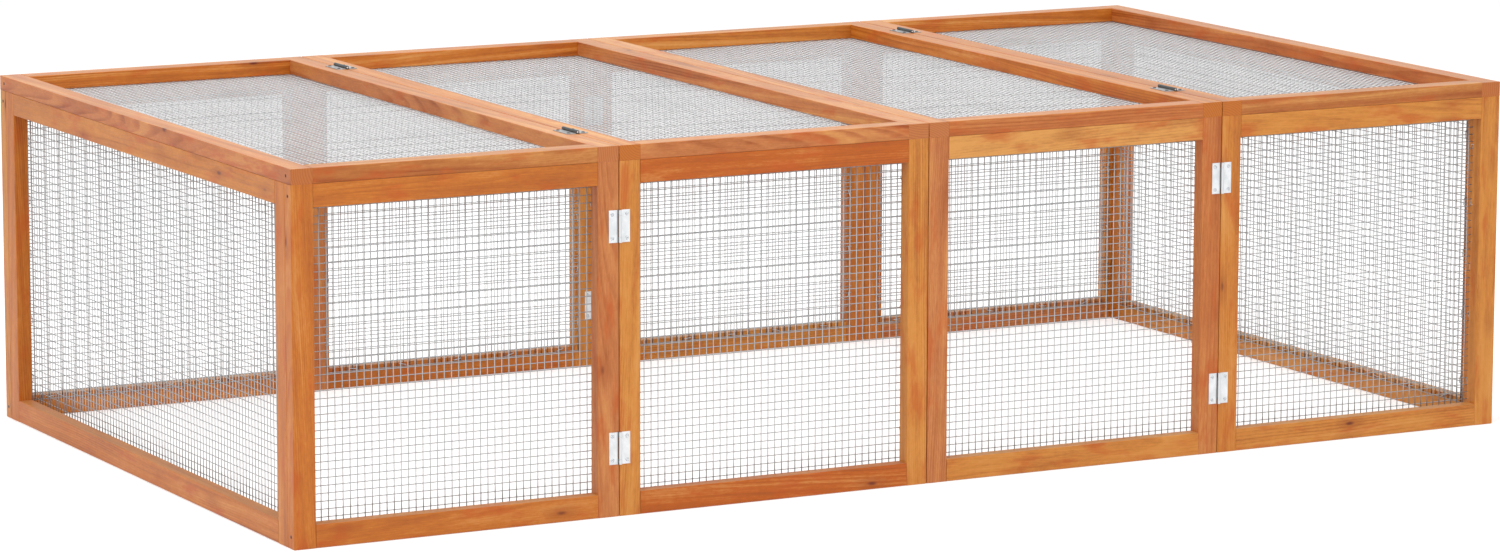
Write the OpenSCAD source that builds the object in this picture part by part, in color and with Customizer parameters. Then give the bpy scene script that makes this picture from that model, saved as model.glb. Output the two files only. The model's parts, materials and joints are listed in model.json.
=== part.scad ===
// Outdoor rabbit run: a bottomless timber frame with welded wire mesh.
// Four hinged sections make each long wall, a framed panel closes each end,
// and four framed lids lie on top. The outer lids and outer wall panels swing.
// Origin: centre of the base. X runs along the length, the front faces -Y, Z is up.

/* [Run] */
// Overall length of the run
run_l = 1815; // [1400:5:2200]
// Overall depth of the run, from front wall to back wall
run_w = 1000; // [700:5:1200]
// Height of the run over the closed lids
run_h = 480; // [400:5:600]

/* [Boards] */
// Face width of every board
board_w = 30; // [27:0.5:38]
// Thickness of every board
board_t = 20; // [17:0.5:24]
// Gap at the seam between neighbouring sections
seam = 1; // [0.5:0.1:1.5]

/* [Wire mesh] */
// Distance between neighbouring wires
mesh_pitch = 10.05; // [9:0.05:14]
// Diameter of the wire
wire_d = 1.2; // [0.8:0.1:1.3]
// How far the mesh runs over the back of its frame
mesh_lap = 7; // [6:0.5:12]
// Clearance from the edge of a mesh to whatever lies beside it
mesh_clear = 1; // [0.5:0.1:1.5]
// Of a wall panel's upright wires, one in this many is drawn; the level ones are all drawn
wall_wire_step = 6; // [4:1:12]
// Of a lid's cross wires and the right end's upright wires, one in this many is drawn
long_wire_step = 13; // [8:1:26]

/* [Hinges] */
// Length of a hinge along its pin
hinge_h = 42; // [36:1:52]
// Width of a leaf from the pin's axis to its outer edge
leaf_w = 15; // [13:0.5:16.5]
// Thickness of a leaf
leaf_t = 1; // [0.8:0.1:1.2]
// Outer diameter of the barrel
barrel_d = 4.6; // [4.2:0.1:5.4]
// Gap between the barrel and the boards
barrel_lift = 0.2; // [0.1:0.05:0.4]
// Diameter of the hinge pin
pin_d = 2.4; // [2:0.1:2.8]
// Length of each of the two end knuckles
end_knuckle = 6.5; // [5:0.5:9]
// Gap between knuckles, and between a knuckle and the other leaf
knuckle_gap = 0.4; // [0.3:0.05:0.8]
// Centre of a wall's lower hinges from its bottom edge
wall_hinge_low = 89; // [60:0.5:110]
// Centre of a wall's upper hinges from its top edge
wall_hinge_high = 83.5; // [60:0.5:110]
// Centre of a lid hinge from the lid's front and back edges
lid_hinge_inset = 139; // [90:1:220]
// Distance of a leaf's screws from the pin's axis
leaf_screw_out = 10.5; // [8:0.5:11]
// Distance of a leaf's screws from the leaf's ends
leaf_screw_in = 5.5; // [5:0.5:9]

/* [Fasteners] */
// Shank diameter of the screws that hold the hinges
hinge_screw_d = 2.8; // [2.2:0.1:3.2]
// Length of the hinge screws below their heads
hinge_screw_l = 13; // [8:0.5:15]
// Head diameter of the hinge screws
hinge_head_d = 5.2; // [4.4:0.1:5.8]
// Head height of the hinge screws
hinge_head_h = 0.9; // [0.6:0.1:1.1]
// Shank diameter of the nails that join stile to rail
nail_d = 1.8; // [1.5:0.1:2.2]
// How deep the nails reach from the edge of the stile
nail_l = 50; // [44:1:70]
// Head diameter of the nails
nail_head_d = 2.3; // [2.2:0.1:3.5]
// Head height of the nails
nail_head_h = 1; // [0.6:0.1:1.5]
// How far the nails' heads sit below the edge of the stile
nail_recess = 0.2; // [0.1:0.1:2.5]
// Diameter of the dowels that locate the end panels
dowel_d = 4; // [3:0.1:5]
// How far a dowel sits in the end panel
dowel_in_end = 15; // [10:1:20]
// How far a dowel reaches into the long wall
dowel_in_wall = 6; // [4:0.5:7]
// Radial clearance of a dowel in the long wall, so that the wall can swing off it
dowel_play = 0.6; // [0.5:0.05:0.9]
// Height of the dowels from the wall's bottom and top edges
dowel_inset = 130; // [70:5:150]

/* [Hidden] */
$fn = 40;

// Running clearance of a pin, a screw or a nail in its hole
fit = 0.05;
// Gap that keeps the two wire layers of a mesh apart as solids
layer_gap = 0.05;
// A screw's or nail's blunt tip, as a share of its shank's diameter
tip_share = 0.25;
// The flat crown of a hinge screw's head, as a share of the head's diameter
crown_share = 0.7;
// How far a cutter runs past the face that it cuts
over = 1;

sections = 4;
section_l = run_l / sections;
wall_h = run_h - board_t;
end_l = run_w - 2 * board_t;
mesh_t = 2 * wire_d + layer_gap;
// The thickness of a mesh's wires, were they spread out to a closed sheet
mesh_plate_t = PI * pow(wire_d, 2) / (2 * mesh_pitch);
// The lids' and wall panels' seams: the middle one is hinged on the inside
middle_seam = sections / 2;
axis_up = barrel_d / 2 + barrel_lift;

// Insets of a mesh from the edges of its panel
mesh_in = board_w - mesh_lap;
mesh_in_over_wall = max(mesh_in, board_t + mesh_clear);
mesh_in_at_corner = max(mesh_in, board_t + mesh_t + mesh_clear);

stain_front = [0.82, 0.50, 0.26];
stain_end = [0.74, 0.47, 0.31];
stain_top = [0.87, 0.64, 0.47];
wire_grey = [0.66, 0.66, 0.67];
zinc = [0.90, 0.90, 0.91];
steel_grey = [0.35, 0.33, 0.31];
dowel_tan = [0.80, 0.66, 0.46];

// The left and right edges of a section, and the place of a seam
function seam_u(k) = -run_l / 2 + k * section_l;
function section_lo(i) = seam_u(i) + (i > 0 ? seam / 2 : 0);
function section_hi(i) = seam_u(i + 1) - (i < sections - 1 ? seam / 2 : 0);

// Each panel is drawn flat: u across it, v up it, and z from its back face at 0
// to its outer face at board_t. These put that flat drawing where it belongs.
module on_front() translate([0, board_t - run_w / 2, 0]) rotate([90, 0, 0]) children();
module on_back() mirror([0, 1, 0]) on_front() children();
module on_left_end() translate([board_t - run_l / 2, 0, 0])
    rotate([0, 0, -90]) rotate([90, 0, 0]) children();
module on_right_end() mirror([1, 0, 0]) on_left_end() children();
module on_top() translate([0, 0, wall_h]) children();

// ---- Boards ----

// The four nail sites of a frame, each with +z running in from the stile's outer edge
module nail_sites(u, v) {
    for (y = [v[0] + board_w / 2, v[1] - board_w / 2]) {
        translate([u[0], y, board_t / 2]) rotate([0, 90, 0]) children();
        translate([u[1], y, board_t / 2]) rotate([0, -90, 0]) children();
    }
}

module nail_bore() {
    translate([0, 0, -over]) cylinder(h = over + nail_recess + nail_head_h, d = nail_head_d + 2 * fit);
    cylinder(h = nail_l + over, d = nail_d + 2 * fit);
}

module nail() {
    tip = nail_d;
    translate([0, 0, nail_recess]) cylinder(h = nail_head_h, d = nail_head_d);
    translate([0, 0, nail_recess]) cylinder(h = nail_l - nail_recess - tip, d = nail_d);
    translate([0, 0, nail_l - tip]) cylinder(h = tip, d1 = nail_d, d2 = nail_d * tip_share);
}

// The two upright boards of a frame that fills u by v; children are cut from them
module stile_pair(u, v) {
    difference() {
        for (x = [u[0], u[1] - board_w]) {
            translate([x, v[0], 0]) cube([board_w, v[1] - v[0], board_t]);
        }
        nail_sites(u, v) nail_bore();
        children();
    }
}

// The two cross boards between the stiles
module rail_pair(u, v) {
    difference() {
        for (y = [v[0], v[1] - board_w]) {
            translate([u[0] + board_w, y, 0]) cube([u[1] - u[0] - 2 * board_w, board_w, board_t]);
        }
        nail_sites(u, v) nail_bore();
    }
}

// ---- Wire mesh ----

// One layer of wires along v, held at both ends by a cross wire
module wire_layer(len_u, len_v, step) {
    gaps = max(2, round((len_u - wire_d) / (step * mesh_pitch)));
    spacing = (len_u - wire_d) / gaps;
    slots = [for (i = [0 : gaps - 1])
        let (a = i * spacing + wire_d, b = (i + 1) * spacing)
        each [[a, wire_d], [b, wire_d], [b, len_v - wire_d], [a, len_v - wire_d]]];
    outer = [[0, 0], [len_u, 0], [len_u, len_v], [0, len_v]];
    paths = [for (i = [0 : gaps]) [for (j = [0 : 3]) 4 * i + j]];
    linear_extrude(wire_d) polygon(concat(outer, slots), paths);
}

// A mesh behind the frame: wires along v against the boards, wires along u behind them
module mesh_sheet(u, v, step_v, step_u) {
    len_u = u[1] - u[0];
    len_v = v[1] - v[0];
    translate([u[0], v[0], -wire_d]) wire_layer(len_u, len_v, step_v);
    translate([u[0], v[0], -mesh_t]) mirror([1, -1, 0]) wire_layer(len_v, len_u, step_u);
}

// A mesh drawn as a closed sheet that weighs as much as its wires
module mesh_plate(u, v) {
    translate([u[0], v[0], -mesh_plate_t]) cube([u[1] - u[0], v[1] - v[0], mesh_plate_t]);
}

// ---- Hinges ----

// Places of a wall's hinges at seam k, with the pin along y and the boards below
module wall_hinge_sites(k) {
    inside = k == middle_seam;
    for (y = [wall_hinge_low, wall_h - wall_hinge_high]) {
        translate([seam_u(k), y, inside ? -axis_up : board_t + axis_up])
            rotate([0, inside ? 180 : 0, 0]) children();
    }
}

// Places of the lids' hinges at seam k
module lid_hinge_sites(k) {
    for (y = [lid_hinge_inset - run_w / 2, run_w / 2 - lid_hinge_inset]) {
        translate([seam_u(k), y, board_t + axis_up]) children();
    }
}

// Screw places on the leaf at one side of the pin, on the boards' face
module leaf_screw_sites(side) {
    for (y = [leaf_screw_in - hinge_h / 2, hinge_h / 2 - leaf_screw_in]) {
        translate([side * leaf_screw_out, y, -axis_up]) children();
    }
}

module hinge_screw_bore() {
    translate([0, 0, -hinge_screw_l - over]) {
        cylinder(h = hinge_screw_l + 2 * over + leaf_t, d = hinge_screw_d + 2 * fit);
    }
}

module hinge_screw() {
    tip = hinge_screw_d;
    translate([0, 0, leaf_t])
        cylinder(h = hinge_head_h, d1 = hinge_head_d, d2 = hinge_head_d * crown_share);
    translate([0, 0, tip - hinge_screw_l]) cylinder(h = hinge_screw_l + leaf_t - tip, d = hinge_screw_d);
    translate([0, 0, -hinge_screw_l]) cylinder(h = tip, d1 = hinge_screw_d * tip_share, d2 = hinge_screw_d);
}

// A cylinder about the pin's axis, from y0 to y1
module about_pin(y0, y1, d) translate([0, y0, 0]) rotate([-90, 0, 0]) cylinder(h = y1 - y0, d = d);

// The stretches of the pin that the end knuckles and the middle knuckle take
function end_spans() = [
    [-hinge_h / 2, end_knuckle - hinge_h / 2],
    [hinge_h / 2 - end_knuckle, hinge_h / 2]
];
function middle_spans() = [
    [end_knuckle + knuckle_gap - hinge_h / 2, hinge_h / 2 - end_knuckle - knuckle_gap]
];

// One leaf with its own knuckles, cut back round the other leaf's
module leaf(side, has_ends) {
    own = has_ends ? end_spans() : middle_spans();
    other = has_ends ? middle_spans() : end_spans();
    notch = barrel_d / 2 + knuckle_gap;
    difference() {
        union() {
            translate([side > 0 ? 0 : -leaf_w, -hinge_h / 2, -axis_up]) cube([leaf_w, hinge_h, leaf_t]);
            for (s = own) {
                about_pin(s[0], s[1], barrel_d);
                translate([side > 0 ? 0 : -barrel_d / 2, s[0], -axis_up])
                    cube([barrel_d / 2, s[1] - s[0], axis_up - pin_d / 2]);
            }
        }
        for (s = other) {
            y0 = s[0] - knuckle_gap;
            translate([-notch, y0, -axis_up - over])
                cube([2 * notch, s[1] + knuckle_gap - y0, 2 * axis_up + over]);
        }
        about_pin(-hinge_h / 2 - over, hinge_h / 2 + over, pin_d + 2 * fit);
        leaf_screw_sites(side) hinge_screw_bore();
    }
}

// The hinge sites and the leaf's side for section i of a wall: its seams, left and right.
// A hinge on the inside faces the other way, so its sides swap.
module wall_leaf_sites(i, seams) {
    for (k = [i, i + 1]) {
        if (k > 0 && k < sections && search(k, seams) != []) {
            wall_hinge_sites(k) {
                $side = (k == i ? 1 : -1) * (k == middle_seam ? -1 : 1);
                children();
            }
        }
    }
}

module lid_leaf_sites(i) {
    for (k = [i, i + 1]) {
        if (k > 0 && k < sections && k != middle_seam) {
            lid_hinge_sites(k) {
                $side = k == i ? 1 : -1;
                children();
            }
        }
    }
}

outside_seams = [1, sections - 1];
all_seams = [1, middle_seam, sections - 1];

// ---- Panels: i is the section, from 0 at the left ----

function wall_u(i) = [section_lo(i), section_hi(i)];
function lid_v() = [-run_w / 2, run_w / 2];
function end_u() = [-end_l / 2, end_l / 2];
wall_v = [0, wall_h];

module dowel_bore(in_wall) {
    depth = in_wall ? dowel_in_wall + fit : dowel_in_end;
    d = dowel_d + 2 * (in_wall ? dowel_play : fit);
    translate([0, 0, in_wall ? -over : -depth]) cylinder(h = depth + over, d = d);
}

// Dowel places in the long wall's drawing, at the end of the wall next to section i
module wall_dowel_sites(i) {
    side = i == 0 ? -1 : 1;
    for (y = [dowel_inset, wall_h - dowel_inset]) {
        translate([side * (run_l - board_t) / 2, y, 0]) children();
    }
}

module wall_stiles(i) {
    stile_pair(wall_u(i), wall_v) {
        wall_leaf_sites(i, all_seams) leaf_screw_sites($side) hinge_screw_bore();
        if (i == 0 || i == sections - 1) wall_dowel_sites(i) dowel_bore(true);
    }
}

module wall_rails(i) rail_pair(wall_u(i), wall_v);

module wall_mesh(i) {
    left = i == 0 ? mesh_in_at_corner : mesh_in;
    right = i == sections - 1 ? mesh_in_at_corner : mesh_in;
    mesh_sheet([section_lo(i) + left, section_hi(i) - right], [mesh_in, wall_h - mesh_in],
        wall_wire_step, 1);
}

module wall_moving_leaves(i) wall_leaf_sites(i, outside_seams) leaf($side, true);

// The nails of section i, and the screws of its hinge leaves
module wall_fixings(i) {
    nail_sites(wall_u(i), wall_v) nail();
    wall_leaf_sites(i, all_seams) leaf_screw_sites($side) hinge_screw();
}

module end_stiles() {
    difference() {
        stile_pair(end_u(), wall_v);
        for (x = [-1, 1]) {
            for (y = [dowel_inset, wall_h - dowel_inset]) {
                translate([x * end_l / 2, y, board_t / 2]) rotate([0, x * 90, 0]) dowel_bore(false);
            }
        }
    }
}

module end_rails() rail_pair(end_u(), wall_v);

end_mesh_u = [mesh_in - end_l / 2, end_l / 2 - mesh_in];
end_mesh_v = [mesh_in, wall_h - mesh_in];

module end_fixings() nail_sites(end_u(), wall_v) nail();

module lid_stiles(i) {
    stile_pair(wall_u(i), lid_v()) lid_leaf_sites(i) leaf_screw_sites($side) hinge_screw_bore();
}

module lid_rails(i) rail_pair(wall_u(i), lid_v());

module lid_mesh(i) {
    left = i == 0 ? mesh_in_over_wall : mesh_in;
    right = i == sections - 1 ? mesh_in_over_wall : mesh_in;
    edge = run_w / 2 - mesh_in_over_wall;
    mesh_sheet([section_lo(i) + left, section_hi(i) - right], [-edge, edge], 1, long_wire_step);
}

module lid_moving_leaves(i) lid_leaf_sites(i) leaf($side, true);

module lid_fixings(i) {
    nail_sites(wall_u(i), lid_v()) nail();
    lid_leaf_sites(i) leaf_screw_sites($side) hinge_screw();
}

// ---- Nodes ----

module front_panel_1_stiles() color(stain_front) on_front() wall_stiles(0);
module front_panel_1_rails() color(stain_front) on_front() wall_rails(0);
module front_panel_1_mesh() color(wire_grey) on_front() wall_mesh(0);
module front_panel_1_hinge_leaves() color(zinc) on_front() wall_moving_leaves(0);
module front_panel_1_fixings() color(steel_grey) on_front() wall_fixings(0);
module front_panel_2_stiles() color(stain_front) on_front() wall_stiles(1);
module front_panel_2_rails() color(stain_front) on_front() wall_rails(1);
module front_panel_2_mesh() color(wire_grey) on_front() wall_mesh(1);
module front_panel_3_stiles() color(stain_front) on_front() wall_stiles(2);
module front_panel_3_rails() color(stain_front) on_front() wall_rails(2);
module front_panel_3_mesh() color(wire_grey) on_front() wall_mesh(2);
module front_panel_4_stiles() color(stain_front) on_front() wall_stiles(3);
module front_panel_4_rails() color(stain_front) on_front() wall_rails(3);
module front_panel_4_mesh() color(wire_grey) on_front() wall_mesh(3);
module front_panel_4_hinge_leaves() color(zinc) on_front() wall_moving_leaves(3);
module front_panel_4_fixings() color(steel_grey) on_front() wall_fixings(3);

module back_panel_1_stiles() color(stain_front) on_back() wall_stiles(0);
module back_panel_1_rails() color(stain_front) on_back() wall_rails(0);
module back_panel_1_mesh() color(wire_grey) on_back() wall_mesh(0);
module back_panel_1_hinge_leaves() color(zinc) on_back() wall_moving_leaves(0);
module back_panel_1_fixings() color(steel_grey) on_back() wall_fixings(0);
module back_panel_2_stiles() color(stain_front) on_back() wall_stiles(1);
module back_panel_2_rails() color(stain_front) on_back() wall_rails(1);
module back_panel_2_mesh() color(wire_grey) on_back() wall_mesh(1);
module back_panel_3_stiles() color(stain_front) on_back() wall_stiles(2);
module back_panel_3_rails() color(stain_front) on_back() wall_rails(2);
module back_panel_3_mesh() color(wire_grey) on_back() wall_mesh(2);
module back_panel_4_stiles() color(stain_front) on_back() wall_stiles(3);
module back_panel_4_rails() color(stain_front) on_back() wall_rails(3);
module back_panel_4_mesh() color(wire_grey) on_back() wall_mesh(3);
module back_panel_4_hinge_leaves() color(zinc) on_back() wall_moving_leaves(3);
module back_panel_4_fixings() color(steel_grey) on_back() wall_fixings(3);

module left_end_stiles() color(stain_end) on_left_end() end_stiles();
module left_end_rails() color(stain_end) on_left_end() end_rails();
module left_end_mesh() color(wire_grey) on_left_end() mesh_plate(end_mesh_u, end_mesh_v);
module right_end_stiles() color(stain_end) on_right_end() end_stiles();
module right_end_rails() color(stain_end) on_right_end() end_rails();
module right_end_mesh() color(wire_grey) on_right_end()
    mesh_sheet(end_mesh_u, end_mesh_v, long_wire_step, 1);

module lid_1_stiles() color(stain_top) on_top() lid_stiles(0);
module lid_1_rails() color(stain_top) on_top() lid_rails(0);
module lid_1_mesh() color(wire_grey) on_top() lid_mesh(0);
module lid_1_hinge_leaves() color(zinc) on_top() lid_moving_leaves(0);
module lid_1_fixings() color(steel_grey) on_top() lid_fixings(0);
module lid_2_stiles() color(stain_top) on_top() lid_stiles(1);
module lid_2_rails() color(stain_top) on_top() lid_rails(1);
module lid_2_mesh() color(wire_grey) on_top() lid_mesh(1);
module lid_3_stiles() color(stain_top) on_top() lid_stiles(2);
module lid_3_rails() color(stain_top) on_top() lid_rails(2);
module lid_3_mesh() color(wire_grey) on_top() lid_mesh(2);
module lid_4_stiles() color(stain_top) on_top() lid_stiles(3);
module lid_4_rails() color(stain_top) on_top() lid_rails(3);
module lid_4_mesh() color(wire_grey) on_top() lid_mesh(3);
module lid_4_hinge_leaves() color(zinc) on_top() lid_moving_leaves(3);
module lid_4_fixings() color(steel_grey) on_top() lid_fixings(3);

// The leaves that stay put, screwed to the second and third sections
module wall_hinge_fixed_leaves() color(zinc) {
    for (i = [1, 2]) {
        on_front() wall_leaf_sites(i, outside_seams) leaf($side, false);
        on_back() wall_leaf_sites(i, outside_seams) leaf($side, false);
    }
}

module lid_hinge_fixed_leaves() color(zinc) {
    for (i = [1, 2]) on_top() lid_leaf_sites(i) leaf($side, false);
}

// Both leaves of the hinges inside the middle seam
module centre_hinge_leaves() color(zinc) {
    for (i = [1, 2]) {
        on_front() wall_leaf_sites(i, [middle_seam]) leaf($side, i == 1);
        on_back() wall_leaf_sites(i, [middle_seam]) leaf($side, i == 1);
    }
}

module hinge_pins() color(zinc) {
    for (k = all_seams) {
        on_front() wall_hinge_sites(k) about_pin(-hinge_h / 2, hinge_h / 2, pin_d);
        on_back() wall_hinge_sites(k) about_pin(-hinge_h / 2, hinge_h / 2, pin_d);
    }
    for (k = outside_seams) on_top() lid_hinge_sites(k) about_pin(-hinge_h / 2, hinge_h / 2, pin_d);
}

// All the nails and screws of the panels that stay put
module fixed_run_fixings() color(steel_grey) {
    for (i = [1, 2]) {
        on_front() wall_fixings(i);
        on_back() wall_fixings(i);
        on_top() lid_fixings(i);
    }
    on_left_end() end_fixings();
    on_right_end() end_fixings();
}

// Hidden dowels between the end panels and the long walls
module corner_dowels() color(dowel_tan) {
    for (i = [0, sections - 1]) {
        on_front() wall_dowel_sites(i) dowel();
        on_back() wall_dowel_sites(i) dowel();
    }
}

module dowel() translate([0, 0, -dowel_in_end]) cylinder(h = dowel_in_end + dowel_in_wall, d = dowel_d);

front_panel_1_stiles();
front_panel_1_rails();
front_panel_1_mesh();
front_panel_1_hinge_leaves();
front_panel_1_fixings();
front_panel_2_stiles();
front_panel_2_rails();
front_panel_2_mesh();
front_panel_3_stiles();
front_panel_3_rails();
front_panel_3_mesh();
front_panel_4_stiles();
front_panel_4_rails();
front_panel_4_mesh();
front_panel_4_hinge_leaves();
front_panel_4_fixings();
back_panel_1_stiles();
back_panel_1_rails();
back_panel_1_mesh();
back_panel_1_hinge_leaves();
back_panel_1_fixings();
back_panel_2_stiles();
back_panel_2_rails();
back_panel_2_mesh();
back_panel_3_stiles();
back_panel_3_rails();
back_panel_3_mesh();
back_panel_4_stiles();
back_panel_4_rails();
back_panel_4_mesh();
back_panel_4_hinge_leaves();
back_panel_4_fixings();
left_end_stiles();
left_end_rails();
left_end_mesh();
right_end_stiles();
right_end_rails();
right_end_mesh();
lid_1_stiles();
lid_1_rails();
lid_1_mesh();
lid_1_hinge_leaves();
lid_1_fixings();
lid_2_stiles();
lid_2_rails();
lid_2_mesh();
lid_3_stiles();
lid_3_rails();
lid_3_mesh();
lid_4_stiles();
lid_4_rails();
lid_4_mesh();
lid_4_hinge_leaves();
lid_4_fixings();
wall_hinge_fixed_leaves();
lid_hinge_fixed_leaves();
centre_hinge_leaves();
hinge_pins();
fixed_run_fixings();
corner_dowels();
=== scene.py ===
"""An outdoor rabbit run of stained fir and welded wire mesh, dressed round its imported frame."""
import json
import math
import random

import bpy
from mathutils import Matrix, Vector


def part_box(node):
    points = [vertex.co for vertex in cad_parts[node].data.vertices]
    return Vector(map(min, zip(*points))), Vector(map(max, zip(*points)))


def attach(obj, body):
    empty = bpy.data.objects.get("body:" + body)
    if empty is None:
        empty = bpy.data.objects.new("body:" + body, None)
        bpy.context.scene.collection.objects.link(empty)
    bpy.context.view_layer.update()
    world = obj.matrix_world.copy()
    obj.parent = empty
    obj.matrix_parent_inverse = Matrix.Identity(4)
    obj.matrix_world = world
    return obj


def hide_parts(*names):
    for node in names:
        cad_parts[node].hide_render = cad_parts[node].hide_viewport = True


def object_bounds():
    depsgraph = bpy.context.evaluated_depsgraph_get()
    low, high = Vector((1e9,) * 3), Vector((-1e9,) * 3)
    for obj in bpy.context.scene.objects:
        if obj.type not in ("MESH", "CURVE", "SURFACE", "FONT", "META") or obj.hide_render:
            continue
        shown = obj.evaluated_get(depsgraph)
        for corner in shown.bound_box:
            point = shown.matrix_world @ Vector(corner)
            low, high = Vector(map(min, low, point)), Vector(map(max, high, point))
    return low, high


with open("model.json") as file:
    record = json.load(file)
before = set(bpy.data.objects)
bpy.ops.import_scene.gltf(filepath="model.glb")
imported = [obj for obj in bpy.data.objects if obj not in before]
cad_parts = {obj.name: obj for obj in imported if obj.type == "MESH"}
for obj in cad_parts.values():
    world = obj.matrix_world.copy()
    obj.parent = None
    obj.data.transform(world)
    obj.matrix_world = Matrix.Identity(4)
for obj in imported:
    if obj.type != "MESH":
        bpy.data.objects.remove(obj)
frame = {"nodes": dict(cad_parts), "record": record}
CAD_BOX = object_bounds()

# ---- Driving sizes, in metres ----

MESH_PITCH = 0.01005
WIRE_R = 0.0006
WIRE_SIDES = 6
LEAST_RINGS = 3  # along a wire, however short it is
WIRE_RING_EVERY = 0.040
WIRE_WAVE = 0.00008
WELD_SINK = 0.75  # centre distance of crossing wires, as a share of their diameter

STAPLE_EVERY = 0.080
LEAST_STAPLES = 3  # in a row, however short it is
STAPLE_CROWN = 0.011
STAPLE_R = 0.00055
STAPLE_LEG = 0.006
STAPLE_BEND = 0.0012
STAPLE_INSET = 0.0045  # from the mesh's edge to the crown's middle
STAPLE_SLIP = 0.12  # how far a staple strays along its row, as a share of the spacing
STAPLE_TILT = 0.35  # radians

BOARD_W = 0.030
BOARD_BEVEL = 0.0011
METAL_BEVEL = 0.00018
SAWN_BEVEL = 0.3  # a board's sawn end is broken this much of what its long edges are
LEAF_EDGE = 0.0009  # shorter edges of a hinge are the rims of its holes and barrel
LONG_EDGE = 0.009  # shorter edges of a board are the rims of its bores
BEVEL_SEGMENTS = 3
CORNER_ANGLE = math.radians(50)  # edges that turn more are bevelled, if long enough
CREASE_ANGLE = math.radians(30)  # other edges that turn more are shaded sharp
SAME_PLACE = 0.000002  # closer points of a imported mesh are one

BARREL_R = 0.0023
LONG_ENOUGH_FOR_A_NAIL = 0.030  # shorter fasteners are screws
AT_END = 1e-5  # points this close to a fastener's end lie on it

WOOD_SEED, SCREW_SEED, WIRE_SEED = 17, 5, 41

WALLS = ["front", "back"]
PANELS = [f"{wall}_panel_{i}" for wall in WALLS for i in (1, 2, 3, 4)]
PANELS += ["left_end", "right_end"] + [f"lid_{i}" for i in (1, 2, 3, 4)]
FIXED_BODY = "fixed_run"
BODIES = frame["record"]["behaviour"]["bodies"]
SECTION = (CAD_BOX[1][0] - CAD_BOX[0][0]) / 4


def body_of_panel(panel):
    """The moving body that a panel makes, or the fixed one that it belongs to."""
    return panel if panel in BODIES else FIXED_BODY


# ---- Camera ----

CAMERA_AT = (-3.7127, -6.9466, 1.5182)
CAMERA_AZIMUTH = 28.139
CAMERA_ELEVATION = 9.488
CAMERA_ROLL = 0.144
CAMERA_LENS = 137.97
CAMERA_REACH = 100


def add_camera():
    """The photograph's viewpoint: from the front left, a little above."""
    az, el = math.radians(CAMERA_AZIMUTH), math.radians(CAMERA_ELEVATION)
    level = math.cos(el)
    forward = Vector((math.sin(az) * level, math.cos(az) * level, -math.sin(el)))
    turn = forward.to_track_quat("-Z", "Y").to_matrix().to_4x4()
    roll = Matrix.Rotation(math.radians(CAMERA_ROLL), 4, "Z")
    data = bpy.data.cameras.new("camera")
    data.lens = CAMERA_LENS
    data.clip_end = CAMERA_REACH
    camera = bpy.data.objects.new("camera", data)
    camera.matrix_world = Matrix.Translation(CAMERA_AT) @ turn @ roll
    bpy.context.scene.collection.objects.link(camera)
    bpy.context.scene.camera = camera


# ---- Materials ----

def colour(r, g, b):
    """A linear colour from the sRGB values, 0 to 255, that it should show."""
    def linear(c):
        c /= 255
        return c / 12.92 if c <= 0.04045 else ((c + 0.055) / 1.055) ** 2.4
    return (linear(r), linear(g), linear(b), 1.0)


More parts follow.
